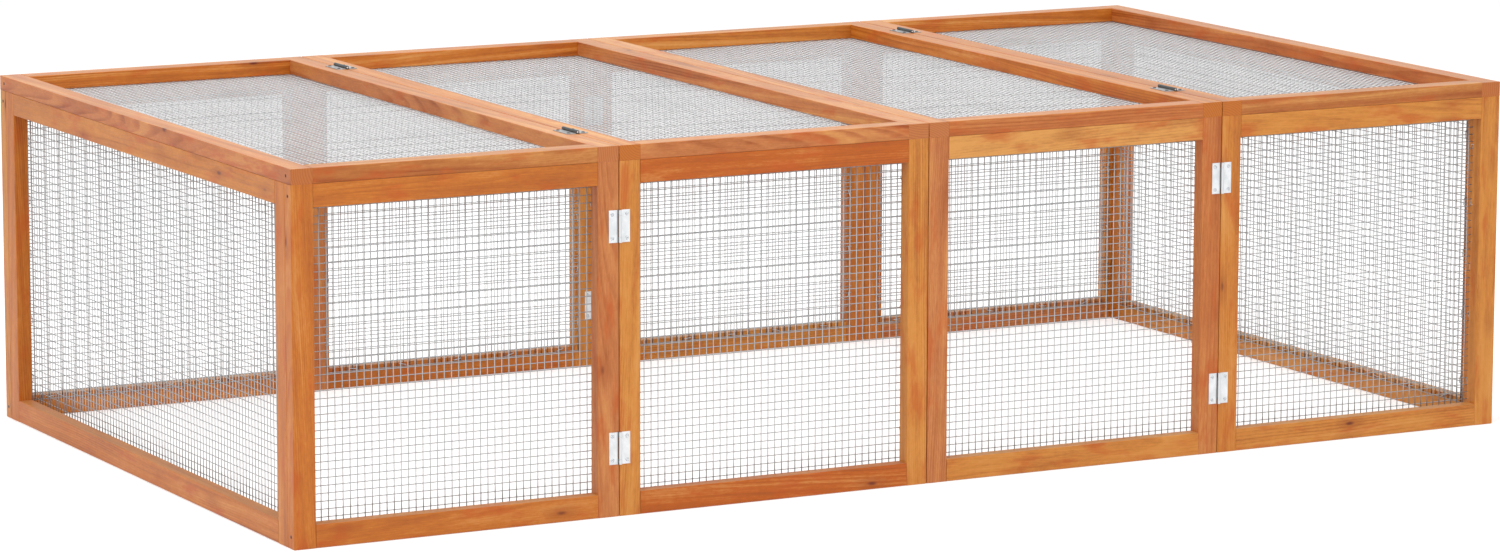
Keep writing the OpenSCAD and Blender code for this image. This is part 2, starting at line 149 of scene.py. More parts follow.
class Nodes:
    """A short way to build a material's node tree."""

    def __init__(self, name):
        self.material = bpy.data.materials.new(name)
        self.material.use_nodes = True
        self.tree = self.material.node_tree
        self.tree.nodes.clear()
        self.output = self.add("ShaderNodeOutputMaterial")

    def add(self, kind, **settings):
        made = self.tree.nodes.new(kind)
        for key, value in settings.items():
            setattr(made, key, value)
        return made

    def feed(self, socket, value):
        """Links a socket to another, or sets a constant on it."""
        if isinstance(value, bpy.types.NodeSocket):
            self.tree.links.new(value, socket)
        else:
            socket.default_value = value

    def math(self, operation, a, b=0.0, clamp=False):
        made = self.add("ShaderNodeMath", operation=operation, use_clamp=clamp)
        self.feed(made.inputs[0], a)
        self.feed(made.inputs[1], b)
        return made.outputs[0]

    def mix(self, factor, a, b):
        made = self.add("ShaderNodeMix", data_type="RGBA")
        self.feed(made.inputs["Factor"], factor)
        self.feed(made.inputs["A"], a)
        self.feed(made.inputs["B"], b)
        return made.outputs["Result"]

    def ramp(self, value, low, high, to_low=0.0, to_high=1.0):
        """A smooth step from to_low to to_high as the value goes from low to high."""
        made = self.add("ShaderNodeMapRange", interpolation_type="SMOOTHSTEP")
        self.feed(made.inputs["Value"], value)
        made.inputs["From Min"].default_value = low
        made.inputs["From Max"].default_value = high
        made.inputs["To Min"].default_value = to_low
        made.inputs["To Max"].default_value = to_high
        return made.outputs["Result"]

    def noise(self, at, frequency=None, detail=2.0, rough=0.5, output="Fac"):
        """Noise of so many cycles a metre, one frequency for each axis."""
        made = self.add("ShaderNodeTexNoise")
        place = self.vector("MULTIPLY", at, frequency) if frequency else at
        self.feed(made.inputs["Vector"], place)
        made.inputs["Scale"].default_value = 1.0
        made.inputs["Detail"].default_value = detail
        made.inputs["Roughness"].default_value = rough
        return made.outputs[output]

    def vector(self, operation, a, b, c=None):
        made = self.add("ShaderNodeVectorMath", operation=operation)
        for socket, value in zip(made.inputs, (a, b, c)):
            if value is not None:
                self.feed(socket, value)
        return made.outputs[0]

    def vector_length(self, vector):
        made = self.add("ShaderNodeVectorMath", operation="LENGTH")
        self.feed(made.inputs[0], vector)
        return made.outputs["Value"]

    def part(self, vector, axis):
        made = self.add("ShaderNodeSeparateXYZ")
        self.feed(made.inputs[0], vector)
        return made.outputs["XYZ".index(axis)]

    def swing(self, noise, amount):
        """A noise about its middle, so many times as strong."""
        return self.math("MULTIPLY", self.math("SUBTRACT", noise, 0.5), amount)

    def bump(self, height, distance, strength=1.0):
        made = self.add("ShaderNodeBump")
        made.inputs["Strength"].default_value = strength
        made.inputs["Distance"].default_value = distance
        self.feed(made.inputs["Height"], height)
        return made.outputs["Normal"]

    def surface(self, **inputs):
        shader = self.add("ShaderNodeBsdfPrincipled")
        for key, value in inputs.items():
            self.feed(shader.inputs[key.replace("_", " ")], value)
        self.tree.links.new(shader.outputs[0], self.output.inputs["Surface"])
        return shader


# The stain's tones as the boards show them in plain light. Gloss adds a little white to
# what is written on the shader, so that much is taken off first.
GLOSS_WHITE = 0.023


def stain(r, g, b):
    """The colour to write on a shader so that a glossy board shows this sRGB tone."""
    return tuple(max(0.004, c - GLOSS_WHITE) for c in colour(r, g, b)[:3]) + (1.0,)


ROSE = stain(204, 129, 79)
CLAY = stain(201, 122, 70)
UMBER = stain(191, 119, 66)
ORANGE = stain(205, 122, 56)
RUST = stain(196, 104, 28)
HONEY = stain(215, 142, 70)
AMBER = stain(211, 134, 64)
STRAW = stain(223, 158, 88)
DARK_LINE = stain(158, 82, 38)
PALE_BAND = stain(228, 166, 98)
KNOT = stain(96, 46, 26)
DEEP = stain(196, 92, 32)
# Painted sheen: the pale tone that faces looking up are painted towards
TOP_SHEEN_TONE = stain(190, 178, 138)
# A dark mark round each nail's head: partly a stain, partly painted shadow of its hole
NAIL_STAIN_AND_SHADOW = stain(14, 10, 8)
NAIL_MARK_RADIUS = 0.0024

AXIS = {"X": 0, "Y": 1, "Z": 2}
RING_WIDTH = 0.0031
RING_WANDER = 0.016
PITH_NEAR, PITH_FAR = 0.030, 0.090
GRAIN_SLOPE = 0.05

# Cycles a metre of each kind of figure, along the grain and across it
WANDER_AT = (2.2, 14.0)
STREAKS_AT = (1.3, 95.0)
FADE_AT = (2.5, 45.0)
CLOUDS_AT = (9.0, 26.0)
BLOTCHES_AT = (14.0, 48.0)
KNOTS_AT = (13.0, 34.0)
MOTTLES_AT = (120.0, 330.0)
FIBRES_AT = (9.0, 620.0)
PORES_AT = (45.0, 2100.0)
TWINS_APART = 7.7  # so that a pair's streaks differ

# How strongly each kind of figure swings a board paler or darker
STREAKS, CLOUDS, FIBRES, MOTTLES, PORES = 2.6, 1.5, 1.1, 0.7, 0.9
FAINT_LINE, STRONG_LINE = 0.05, 0.50  # how much a ring's late wood darkens it
PALER, DARKER = 0.85, 0.75  # how far towards the palest and the darkest tone a swing goes
BLOTCHY = 0.60
KNOTTY = 0.20  # share of the cells that hold a pin knot
KNOT_DARK, HALO_DARK = 0.75, 0.45
# How far faces that look up are painted towards the sheen tone
TOP_SHEEN_SHARE = 0.20
CUT_DARK, CUT_LINE = 0.14, 0.30  # how much darker end grain is, and its rings still more


class Board:
    """What tells a board of a pair from its twin: its tone, and where in the tree it was cut."""

    def __init__(self, tone, middle, grain, rng):
        self.tone = tone
        turn = rng.uniform(0, 2 * math.pi)
        away = rng.uniform(PITH_NEAR, PITH_FAR)
        side, up = [i for i in range(3) if i != AXIS[grain]]
        self.pith = Vector(middle)
        self.pith[side] += away * math.cos(turn)
        self.pith[up] += away * math.sin(turn)
        self.slope = Vector((0, 0, 0))
        self.slope[side] = rng.uniform(-GRAIN_SLOPE, GRAIN_SLOPE)
        self.slope[up] = rng.uniform(-GRAIN_SLOPE, GRAIN_SLOPE)


def wood(name, grain, boards, split, streaky=1.0, nails=None):
    """Stained fir cut from a tree whose pith runs beside each board. boards are the two of
    a pair, that share a node and part at split = (axis, place). nails = (middle, reach, depth
    axis) darkens the wood round nails that far along the grain from the middle: partly a
    stain, partly painted shadow of the nail's hole."""
    first, second = boards
    n = Nodes(name)
    coords = n.add("ShaderNodeTexCoord")
    at = coords.outputs["Object"]
    side = n.math("GREATER_THAN", n.part(at, split[0]), split[1])
    tone = n.mix(side, first.tone, second.tone)

    # From the pith: along the grain, and out across it, where the rings lie
    from_first = n.vector("SUBTRACT", at, tuple(first.pith))
    spot = n.vector("MULTIPLY_ADD", side, tuple(first.pith - second.pith), from_first)
    along = n.part(spot, grain)
    lean = n.vector("MULTIPLY_ADD", side, tuple(second.slope - first.slope), tuple(first.slope))
    leaning = n.vector("MULTIPLY_ADD", along, lean, spot)
    wander = n.noise(spot, stretched(grain, *WANDER_AT), output="Color")
    centred = n.vector("SUBTRACT", wander, (0.5, 0.5, 0.5))
    wandering = n.vector("MULTIPLY_ADD", centred, (RING_WANDER,) * 3, leaning)
    radius = n.vector_length(n.vector("MULTIPLY", wandering, stretched(grain, 0.0, 1.0)))

    ring = n.math("FRACT", n.math("MULTIPLY", radius, 1 / RING_WIDTH))
    rise, fall = n.ramp(ring, 0.35, 0.82), n.ramp(ring, 0.86, 1.0, 1.0, 0.0)
    late_wood = n.math("MULTIPLY", rise, fall)
    rolled = n.add("ShaderNodeCombineXYZ")
    n.feed(rolled.inputs[0], n.math("MULTIPLY", radius, STREAKS_AT[1]))
    n.feed(rolled.inputs[1], n.math("MULTIPLY", along, STREAKS_AT[0]))
    n.feed(rolled.inputs[2], n.math("MULTIPLY", side, TWINS_APART))
    streaks = n.noise(rolled.outputs[0], None, 2.5, 0.55)
    fade = n.noise(spot, stretched(grain, *FADE_AT), 1.0)
    fibres = n.noise(leaning, stretched(grain, *FIBRES_AT), 3.0, 0.6)
    pores = n.noise(leaning, stretched(grain, *PORES_AT), 2.0, 0.6)
    clouds = n.noise(spot, stretched(grain, *CLOUDS_AT), 3.0, 0.6)
    blotches = n.noise(wandering, stretched(grain, *BLOTCHES_AT), 3.0, 0.6)
    mottles = n.noise(spot, stretched(grain, *MOTTLES_AT), 2.0, 0.6)

    # Above 0 the board is paler there, below 0 darker
    weight = n.swing(streaks, STREAKS * streaky)
    for noise, amount in ((clouds, CLOUDS), (fibres, FIBRES), (mottles, MOTTLES), (pores, PORES)):
        weight = n.math("ADD", weight, n.swing(noise, amount))
    strength = n.ramp(fade, 0.40, 0.66, FAINT_LINE * streaky, STRONG_LINE * streaky)
    weight = n.math("SUBTRACT", weight, n.math("MULTIPLY", late_wood, strength))
    paler = n.math("MULTIPLY", n.math("MAXIMUM", weight, 0.0), PALER, clamp=True)
    darker = n.math("MULTIPLY", n.math("MINIMUM", weight, 0.0), -DARKER, clamp=True)
    body = n.mix(darker, n.mix(paler, tone, PALE_BAND), DARK_LINE)
    body = n.mix(n.ramp(blotches, 0.50, 0.72, 0.0, BLOTCHY), body, DEEP)
    body = with_pin_knots(n, body, wandering, grain)
    # Round each nail: partly a stain, partly painted shadow of its hole
    if nails:
        body = with_nail_stain_and_shadow(n, body, at, grain, nails)

    # Painted sheen: faces that look up are painted paler, as a grazing reflection shows them
    upward = n.part(coords.outputs["Normal"], "Z")
    body = n.mix(n.ramp(upward, 0.60, 0.95, 0.0, TOP_SHEEN_SHARE), body, TOP_SHEEN_TONE)

    # End grain: a little darker, with its rings plain to see
    end = n.ramp(n.math("ABSOLUTE", n.part(coords.outputs["Normal"], grain)), 0.75, 0.92)
    dark = n.math("ADD", n.math("MULTIPLY", late_wood, CUT_LINE), CUT_DARK)
    body = n.mix(end, body, n.mix(dark, tone, DARK_LINE))

    sunk = n.math("MULTIPLY", late_wood, 0.35)
    relief = n.math("SUBTRACT", n.math("MULTIPLY", fibres, 0.5), sunk)
    relief = n.math("ADD", relief, n.math("MULTIPLY", pores, 0.4))
    n.surface(
        Base_Color=body,
        Roughness=n.ramp(fibres, 0.3, 0.7, 0.40, 0.52),
        Specular_IOR_Level=0.28,
        Coat_Weight=0.12,
        Coat_Roughness=0.24,
        Normal=n.bump(relief, 0.00025, 0.5),
    )
    return n.material


def with_pin_knots(n, body, at, grain):
    """Small dark ovals, drawn out along the grain, each with a soft darker halo."""
    cells = n.add("ShaderNodeTexVoronoi")
    n.feed(cells.inputs["Vector"], n.vector("MULTIPLY", at, stretched(grain, *KNOTS_AT)))
    cells.inputs["Scale"].default_value = 1.0
    pick = n.add("ShaderNodeSeparateColor")
    n.feed(pick.inputs[0], cells.outputs["Color"])
    rare = n.math("GREATER_THAN", pick.outputs[0], 1 - KNOTTY)
    distance = cells.outputs["Distance"]
    knot = n.math("MULTIPLY", n.ramp(distance, 0.03, 0.13, 1.0, 0.0), rare)
    halo = n.math("MULTIPLY", n.ramp(distance, 0.05, 0.50, HALO_DARK, 0.0), rare)
    return n.mix(n.math("MULTIPLY", knot, KNOT_DARK), n.mix(halo, body, DARK_LINE), KNOT)


def with_nail_stain_and_shadow(n, body, at, grain, nails):
    """A dark round mark about each nail's head, on the edges that the nails go into: partly a
    stain, partly painted shadow of the nail's hole.
    """
    middle, reach, depth = nails
    from_middle = n.vector("SUBTRACT", at, tuple(middle))
    run = n.math("SUBTRACT", n.math("ABSOLUTE", n.part(from_middle, grain)), reach)
    aside = n.part(from_middle, depth)
    square = n.math("ADD", n.math("MULTIPLY", run, run), n.math("MULTIPLY", aside, aside))
    share = n.ramp(square, 0.8 * NAIL_MARK_RADIUS ** 2, NAIL_MARK_RADIUS ** 2, 1.0, 0.0)
    return n.mix(share, body, NAIL_STAIN_AND_SHADOW)


def stretched(grain, along, across):
    """One value for the axis along the grain, and another for those across it."""
    return tuple(along if axis == grain else across for axis in "XYZ")


DULL_ZINC = colour(150, 151, 153)
GREY_ZINC = colour(168, 169, 171)
SCRATCH = colour(186, 189, 192)
# Painted shadow for the crevice beside a hinge's barrel
CREVICE_SHADOW = colour(70, 66, 62)


def wire_metal(name, top, side, shaded_under):
    """Galvanised wire: mottled zinc, with painted light and shade: a lit tone above, one
    beside and a shaded one below.
    """
    n = Nodes(name)
    coords = n.add("ShaderNodeTexCoord")
    at = coords.outputs["Object"]
    mottle = n.noise(at, (220.0,) * 3, 3.0, 0.6)
    patch = n.noise(at, (9.0,) * 3)
    # Painted light and shade: upward faces take the lit tone, downward ones the shaded one
    level = n.part(coords.outputs["Normal"], "Z")
    zinc = n.mix(n.ramp(level, -0.05, 0.55), side, top)
    zinc = n.mix(n.ramp(level, -0.75, -0.05, 1.0, 0.0), zinc, shaded_under)
    zinc = n.mix(n.ramp(mottle, 0.35, 0.65, 0.22, 0.0), zinc, DULL_ZINC)
    zinc = n.mix(n.ramp(patch, 0.45, 0.75, 0.0, 0.22), zinc, GREY_ZINC)
    n.surface(
        Base_Color=zinc,
        Metallic=0.15,
        Roughness=n.ramp(mottle, 0.3, 0.7, 0.40, 0.54),
        Specular_IOR_Level=0.22,
        Normal=n.bump(mottle, 0.0001, 0.4),
    )
    return n.material


def zinc_plate(name, dull, bright, barrel):
    """Zinc-plated pressed steel for hinges. Every hinge's pin lies over a seam, so how far
    a point is from the nearest seam tells the barrel and the painted shadow in its crevice
    from the leaf, which goes from dull to bright in clouds."""
    n = Nodes(name)
    at = n.add("ShaderNodeTexCoord").outputs["Object"]
    rolled = n.noise(at, (900.0, 900.0, 60.0), 3.0, 0.6)
    cloud = n.noise(at, (70.0,) * 3, 3.0, 0.55)
    scratch = n.noise(at, (1500.0, 1500.0, 90.0))
    plate = n.mix(n.ramp(cloud, 0.35, 0.7), dull, bright)
    plate = n.mix(n.ramp(scratch, 0.60, 0.75, 0.0, 0.35), plate, SCRATCH)
    from_seam = n.math("PINGPONG", n.part(at, "X"), SECTION / 2)
    plate = n.mix(n.ramp(from_seam, BARREL_R - 0.0002, BARREL_R, 1.0, 0.0), plate, barrel)
    # Painted shadow: a dark line in the crevice where the barrel meets the leaf
    crevice = n.math(
        "MULTIPLY",
        n.ramp(from_seam, BARREL_R - 0.0003, BARREL_R - 0.0001),
        n.ramp(from_seam, BARREL_R + 0.0004, BARREL_R + 0.0007, 1.0, 0.0),
    )
    n.surface(
        Base_Color=n.mix(n.math("MULTIPLY", crevice, 0.85), plate, CREVICE_SHADOW),
        Metallic=0.55,
        Roughness=n.ramp(rolled, 0.3, 0.7, 0.28, 0.44),
        Normal=n.bump(rolled, 0.00005, 0.35),
    )
    return n.material


def fastener_metal(name, dull, bright, metallic, roughness):
    """A nail's or screw's steel, with a little grime."""
    n = Nodes(name)
    at = n.add("ShaderNodeTexCoord").outputs["Object"]
    grime = n.noise(at, (700.0,) * 3, 3.0, 0.6)
    n.surface(
        Base_Color=n.mix(n.ramp(grime, 0.35, 0.65), dull, bright),
        Metallic=metallic,
        Roughness=n.ramp(grime, 0.3, 0.7, roughness, roughness + 0.14),
        Normal=n.bump(grime, 0.00008, 0.4),
    )
    return n.material


def dowel_wood():
    """Plain turned beech."""
    n = Nodes("beech_dowel")
    at = n.add("ShaderNodeTexCoord").outputs["Object"]
    fibre = n.noise(at, stretched("Y", 60.0, 600.0), 3.0, 0.6)
    n.surface(
        Base_Color=n.mix(n.ramp(fibre, 0.3, 0.7), colour(190, 156, 110), colour(220, 190, 146)),
        Roughness=0.6,
        Normal=n.bump(fibre, 0.0002, 0.5),
    )
    return n.material


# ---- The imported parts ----

class EdgeNodes(Nodes):
    """The same short way, for a tree of geometry nodes."""

    def __init__(self, name):
        self.tree = bpy.data.node_groups.new(name, "GeometryNodeTree")
        for way in ("INPUT", "OUTPUT"):
            self.tree.interface.new_socket("Geometry", in_out=way, socket_type="NodeSocketGeometry")
        self.source = self.add("NodeGroupInput").outputs[0]
        self.output = self.add("NodeGroupOutput")


def edge_tree(name, least, grain=None):
    """Marks a part's corners for its bevel: those of at least this length, and along the
    grain more than across it. Other edges stay sharp, and flat or round faces smooth."""
    n = EdgeNodes(name)
    angle = n.add("GeometryNodeInputMeshEdgeAngle").outputs["Unsigned Angle"]
    ends = n.add("GeometryNodeInputMeshEdgeVertices")
    way = n.vector("SUBTRACT", ends.outputs["Position 1"], ends.outputs["Position 2"])
    length = n.vector_length(way)
    long_enough = n.math("GREATER_THAN", length, least)
    corner = n.math("MULTIPLY", n.math("GREATER_THAN", angle, CORNER_ANGLE), long_enough)
    weight = corner
    if grain:
        run = n.math("DIVIDE", n.math("ABSOLUTE", n.part(way, grain)), length)
        share = n.ramp(run, 0.85, 0.95, SAWN_BEVEL, 1.0)
        weight = n.math("MULTIPLY", corner, share)
    other = n.math("SUBTRACT", n.math("GREATER_THAN", angle, CREASE_ANGLE), corner)
    shaded = n.add("GeometryNodeSetMeshNormal", mode="SHARPNESS")
    n.feed(shaded.inputs["Mesh"], n.source)
    n.feed(shaded.inputs["Remove Custom"], True)
    n.feed(shaded.inputs["Edge Sharpness"], n.math("GREATER_THAN", other, 0.5))
    stored = n.add("GeometryNodeStoreNamedAttribute", data_type="FLOAT", domain="EDGE")
    n.feed(stored.inputs["Geometry"], shaded.outputs[0])
    n.feed(stored.inputs["Name"], "bevel_weight_edge")
    n.feed(stored.inputs["Value"], weight)
    n.feed(n.output.inputs[0], stored.outputs[0])
    return n.tree


def finish_part(node, material, width, tree):
    """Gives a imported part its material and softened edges."""
    part = frame["nodes"][node]
    part.data.materials.clear()
    part.data.materials.append(material)
    joined = part.modifiers.new("joined_faces", "WELD")
    joined.merge_threshold = SAME_PLACE
    marked = part.modifiers.new("marked_corners", "NODES")
    marked.node_group = tree
    soft = part.modifiers.new("soft_edges", "BEVEL")
    soft.width = width
    soft.segments = BEVEL_SEGMENTS
    soft.limit_method = "WEIGHT"
    soft.use_clamp_overlap = False
    soft.harden_normals = True


# Left stile, right stile, bottom rail, top rail of each panel; a lid's rails are front, back
TONES = {
    "front_panel_1": (ORANGE, ROSE, ORANGE, ORANGE),
    "front_panel_2": (HONEY, HONEY, RUST, RUST),
    "front_panel_3": (ROSE, CLAY, HONEY, STRAW),
    "front_panel_4": (AMBER, HONEY, HONEY, HONEY),
    "back_panel_1": (HONEY, ORANGE, AMBER, ROSE),
    "back_panel_2": (ROSE, HONEY, ORANGE, AMBER),
    "back_panel_3": (AMBER, ORANGE, HONEY, ORANGE),
    "back_panel_4": (ORANGE, HONEY, ROSE, AMBER),
    "left_end": (ORANGE, ORANGE, ORANGE, AMBER),
    "right_end": (AMBER, ORANGE, HONEY, ROSE),
    "lid_1": (CLAY, ROSE, UMBER, ORANGE),
    "lid_2": (ORANGE, ROSE, ROSE, ORANGE),
    "lid_3": (ROSE, ORANGE, CLAY, AMBER),
    "lid_4": (ORANGE, CLAY, UMBER, ORANGE),
}
WALL_STREAKS, LID_STREAKS = 0.9, 1.7


def dress_boards():
    """Stained fir on every stile and rail, each pair told apart by its place."""
    rng = random.Random(WOOD_SEED)
    corners = {grain: edge_tree(f"board_corners_{grain}", LONG_EDGE, grain) for grain in "XYZ"}
    for panel in PANELS:
        lo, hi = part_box(f"{panel}_stiles")
        lid, end = panel.startswith("lid"), panel.endswith("end")
        across = "Y" if end else "X"
        upright = "Y" if lid else "Z"
        left, right, low, high = TONES[panel]
        centre = [(a + b) / 2 for a, b in zip(lo, hi)]
        streaky = LID_STREAKS if lid else WALL_STREAKS
        for kind, grain, part, pair in (("stile", upright, across, (left, right)),
                                        ("rail", across, upright, (low, high))):
            boards = []
            for tone, edge in zip(pair, (lo, hi)):
                middle = list(centre)
                middle[AXIS[part]] = edge[AXIS[part]]
                boards.append(Board(tone, middle, grain, rng))
            nails = None
            if kind == "stile":
                reach = (hi[AXIS[upright]] - lo[AXIS[upright]] - BOARD_W) / 2
                nails = (centre, reach, ({"X", "Y", "Z"} - {across, upright}).pop())
            split = (part, centre[AXIS[part]])
            material = wood(f"{panel}_{kind}_wood", grain, boards, split, streaky, nails)
            finish_part(f"{panel}_{kind}s", material, BOARD_BEVEL, corners[grain])


def dress_fittings():
    """Zinc on the hinges, and plain beech on the dowels."""
    wall_tones = colour(212, 215, 217), colour(229, 231, 233), colour(214, 217, 219)
    lid_tones = colour(152, 153, 154), colour(178, 180, 182), colour(64, 74, 78)
    wall_zinc = zinc_plate("wall_hinge_zinc", *wall_tones)
    lid_zinc = zinc_plate("lid_hinge_zinc", *lid_tones)
    corners = edge_tree("fitting_corners", LEAF_EDGE)
    for node in frame["nodes"]:
        if node.endswith("leaves"):
            zinc = lid_zinc if node.startswith("lid") else wall_zinc
            finish_part(node, zinc, METAL_BEVEL, corners)
    finish_part("hinge_pins", wall_zinc, METAL_BEVEL, corners)
    finish_part("corner_dowels", dowel_wood(), METAL_BEVEL, corners)


# ---- Screws and nails ----

def add_piece(name, verts, faces, material, body):
    """A smooth-shaded mesh piece that rides on a body."""
    mesh = bpy.data.meshes.new(name)
    mesh.from_pydata(verts, [], faces)
    mesh.materials.append(material)
    mesh.polygons.foreach_set("use_smooth", [True] * len(mesh.polygons))
    mesh.update()
    piece = bpy.data.objects.new(name, mesh)
    bpy.context.scene.collection.objects.link(piece)
    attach(piece, body)
    return piece


def solids_of(node):
    """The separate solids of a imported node, each as a list of its points."""
    mesh = frame["nodes"][node].data
    places, group = {}, []
    for vertex in mesh.vertices:
        key = tuple(round(c, 6) for c in vertex.co)  # to a micrometre
        group.append(places.setdefault(key, len(places)))
    root = list(range(len(places)))

    def top(i):
        while root[i] != i:
            root[i] = root[root[i]]
            i = root[i]
        return i

    for edge in mesh.edges:
        a, b = (top(group[v]) for v in edge.vertices)
        root[a] = b
    solids = {}
    for vertex, i in zip(mesh.vertices, group):
        solids.setdefault(top(i), []).append(vertex.co.copy())
    return list(solids.values())


def fastener_line(points):
    """The middle of a fastener's head, the way that it points, and its length."""
    lo = Vector([min(p[i] for p in points) for i in range(3)])
    hi = Vector([max(p[i] for p in points) for i in range(3)])
    size = hi - lo
    axis = max(range(3), key=lambda i: size[i])
    middle = (lo + hi) / 2
    ends = []
    for level, way in ((lo[axis], 1), (hi[axis], -1)):
        centre = middle.copy()
        centre[axis] = level
        radius = max((p - centre).length for p in points if abs(p[axis] - level) < AT_END)
        ends.append((radius, centre, way))
    _, centre, way = max(ends, key=lambda end: end[0])
    ahead = Vector((0, 0, 0))
    ahead[axis] = way
    return centre, ahead, size[axis]


def turned(verts, faces, at, ahead, profile, sides, turn=0.0, dent=None):
    """Adds a closed turned form. profile holds (radius, how far ahead) from the outer end's
    rim inward; dent(x, y) sinks the points of the outer end."""
    side = ahead.orthogonal().normalized()
    up = ahead.cross(side)
    first = len(verts)
    for radius, depth in profile:
        for j in range(sides):
            a = 2 * math.pi * j / sides
            x, y = radius * math.cos(a), radius * math.sin(a)
            sunk = dent(x, y) if dent else 0.0
            spun = (side * math.cos(a + turn) + up * math.sin(a + turn)) * radius
            verts.append(tuple(at + spun + ahead * (depth + sunk)))
    for i in range(len(profile) - 1):
        for j in range(sides):
            a, b = first + i * sides + j, first + i * sides + (j + 1) % sides
            faces.append((a, b, b + sides, a + sides))
    faces.append(tuple(first + j for j in reversed(range(sides))))
    faces.append(tuple(first + (len(profile) - 1) * sides + j for j in range(sides)))


RIM_ANGLE = math.radians(40)
SCREW_SIDES, NAIL_SIDES = 32, 16
SCREW_HEAD_STEPS = 9
SCREW_HEAD_R = 0.0026
SCREW_HEAD_H = 0.0009
SCREW_SHANK_R = 0.0014
CROSS_HALF_WIDTH = 0.00036
CROSS_REACH = 0.0015
CROSS_DEPTH = 0.0007
NAIL_HEAD_R = 0.00115
NAIL_HEAD_H = 0.001
NAIL_SHANK_R = 0.0009


def cross_recess(x, y):
    """How deep the driver's cross is sunk at a point of a screw's head."""
    off_arm = min(abs(x), abs(y))
    wall = min(1.0, max(0.0, (CROSS_HALF_WIDTH * 1.5 - off_arm) / (CROSS_HALF_WIDTH * 0.5)))
    end = min(1.0, max(0.0, (CROSS_REACH - math.hypot(x, y)) / (CROSS_REACH * 0.35)))
    return CROSS_DEPTH * wall * end


def screw_profile(length):
    """An oval head, down to its rim on the leaf, then the shank and the point."""
    head = []
    for i in range(SCREW_HEAD_STEPS + 1):
        r = max(0.0001, SCREW_HEAD_R * i / SCREW_HEAD_STEPS)
        head.append((r, SCREW_HEAD_H * (r / SCREW_HEAD_R) ** 2.4 * 0.86))
    shank = [(SCREW_HEAD_R, SCREW_HEAD_H), (SCREW_SHANK_R, SCREW_HEAD_H)]
    point = [(SCREW_SHANK_R, length - 2 * SCREW_SHANK_R), (SCREW_SHANK_R / 4, length)]
    return head + shank + point


def nail_profile(length):
    """A small flat head with a dimple in it, then the shank and the point."""
    dimple = [(0.0002, 0.0003), (NAIL_HEAD_R * 0.45, 0.0002), (NAIL_HEAD_R * 0.7, 0.00002)]
    head = [(NAIL_HEAD_R * 0.9, 0.0), (NAIL_HEAD_R, 0.0001), (NAIL_HEAD_R, NAIL_HEAD_H)]
    shank = [(NAIL_SHANK_R, NAIL_HEAD_H), (NAIL_SHANK_R, length - 2 * NAIL_SHANK_R)]
    return dimple + head + shank + [(NAIL_SHANK_R / 4, length)]


def add_fixings(node, body, materials, rng):
    """The screws and nails of a node, each with its real head, in place of plain ones."""
    verts, faces, kinds = [], [], []
    for points in solids_of(node):
        at, ahead, length = fastener_line(points)
        before = len(faces)
        if length > LONG_ENOUGH_FOR_A_NAIL:
            turned(verts, faces, at, ahead, nail_profile(length), NAIL_SIDES)
            kind = 0
        else:
            turn = rng.uniform(0, math.pi)
            profile = screw_profile(length)
            turned(verts, faces, at, ahead, profile, SCREW_SIDES, turn, cross_recess)
            kind = 2 if ahead.z < -0.5 else 1  # a lid's is driven down
        kinds += [kind] * (len(faces) - before)
    piece = add_piece(f"{node}_turned", verts, faces, materials[0], body)
    for material in materials[1:]:
        piece.data.materials.append(material)
    piece.data.polygons.foreach_set("material_index", kinds)
    piece.data.set_sharp_from_angle(angle=RIM_ANGLE)
    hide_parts(node)


def dress_fixings():
    """Dark nails in the frames, zinc screws on the wall hinges, black ones on the lids'."""
    rng = random.Random(SCREW_SEED)
    materials = [
        fastener_metal("dark_nail", colour(10, 8, 7), colour(24, 18, 14), 0.0, 0.8),
        fastener_metal("zinc_screw", colour(176, 180, 184), colour(222, 225, 228), 0.7, 0.24),
        fastener_metal("black_screw", colour(14, 13, 12), colour(34, 32, 30), 0.2, 0.5),
    ]
    for body in BODIES:
        add_fixings(f"{body}_fixings", body, materials, rng)


# ---- Wire mesh and staples ----

ASKEW = (0.31, 0.52, 0.79)  # a way that no wire or staple runs


def tube(verts, faces, path, radius):
    """Adds a capped round tube along a path of points to verts and faces."""
    sides = WIRE_SIDES
    first = len(verts)
    count = len(path)
    for i, point in enumerate(path):
        ahead = (path[min(i + 1, count - 1)] - path[max(i - 1, 0)]).normalized()
        side = ahead.cross(Vector(ASKEW)).normalized()
        up = ahead.cross(side)
        for j in range(sides):
            a = 2 * math.pi * j / sides
            verts.append(tuple(point + radius * (math.cos(a) * side + math.sin(a) * up)))
    for i in range(count - 1):
        for j in range(sides):
            a, b = first + i * sides + j, first + i * sides + (j + 1) % sides
            faces.append((a, b, b + sides, a + sides))
    faces.append(tuple(first + j for j in reversed(range(sides))))
    faces.append(tuple(first + (count - 1) * sides + j for j in range(sides)))


def net_frame(panel):
    """Where a panel's mesh lies: the flat drawing's origin, axes across and up, the way to
    the inside of the run, and its size across and up."""
    lo, hi = (Vector(p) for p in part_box(f"{panel}_mesh"))
    size = hi - lo
    east, north, top = Vector((1, 0, 0)), Vector((0, 1, 0)), Vector((0, 0, 1))
    if panel.startswith("lid"):
        return Vector((lo.x, lo.y, hi.z)), east, north, -top, size.x, size.y
    if panel == "left_end":
        return lo, north, top, east, size.y, size.z
    if panel == "right_end":
        return Vector((hi.x, lo.y, lo.z)), north, top, -east, size.y, size.z
    if panel.startswith("front"):
        return lo, east, top, north, size.x, size.z
    return Vector((lo.x, hi.y, lo.z)), east, top, -north, size.x, size.z


def wire_places(length):
    """Places of the wires across a sheet cut to length, at the mesh's pitch."""
    gaps = int((length - 2 * WIRE_R) / MESH_PITCH)
    start = (length - gaps * MESH_PITCH) / 2
    return [start + i * MESH_PITCH for i in range(gaps + 1)]


